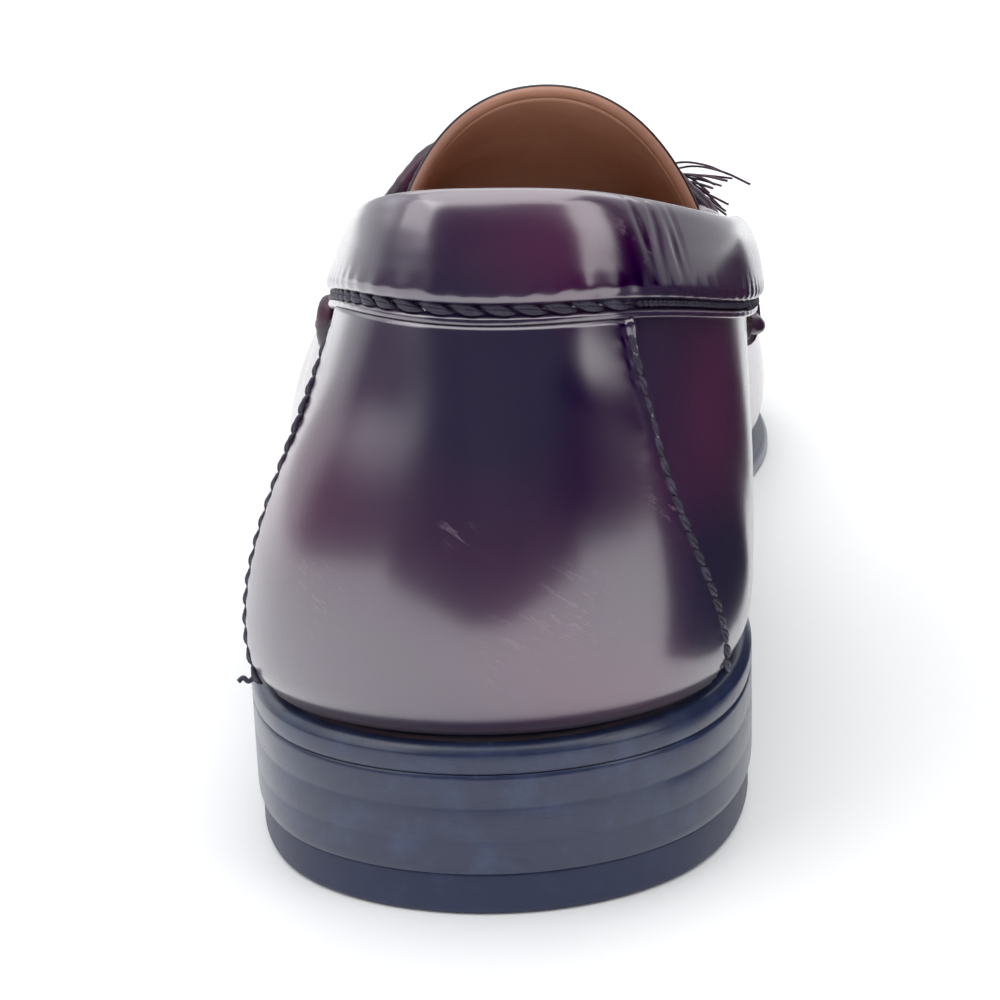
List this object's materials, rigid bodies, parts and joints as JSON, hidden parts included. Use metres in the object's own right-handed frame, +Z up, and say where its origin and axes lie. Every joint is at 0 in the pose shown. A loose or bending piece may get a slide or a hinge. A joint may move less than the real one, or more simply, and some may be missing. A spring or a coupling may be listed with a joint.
{
  "type": "tassel loafer",
  "caption": "Left slip-on dress shoe in polished leather: padded collar band, raised apron seam, lace with tassels, low heel.",
  "frame": {"origin": "middle of the heel's flat bottom face, on the floor", "axes": "+Y from heel to toe, +Z up, +X to the inner (big toe) side of this left shoe"},
  "size_m": [0.0978, 0.2966, 0.0874],
  "materials": {
    "polished_leather": "high-gloss brush-off leather, oxblood shading to black",
    "lining": "smooth tan lining leather",
    "sole_edge": "black inked and waxed edge",
    "heel_leather": "black stacked leather, satin",
    "lift_rubber": "black rubber, matte",
    "lace_leather": "dark soft leather thong"
  },
  "bodies": {
    "root": {"outsole": "sole_edge", "heel_stack": "heel_leather", "top_lift": "lift_rubber", "insole": "lining", "upper": "polished_leather", "back_counter": "polished_leather", "collar_band": "polished_leather", "lace": "lace_leather", "lace_knot": "lace_leather", "lace_end_out": "lace_leather", "lace_end_in": "lace_leather", "tassel_out": "lace_leather", "tassel_in": "lace_leather"}
  },
  "joints": []
}
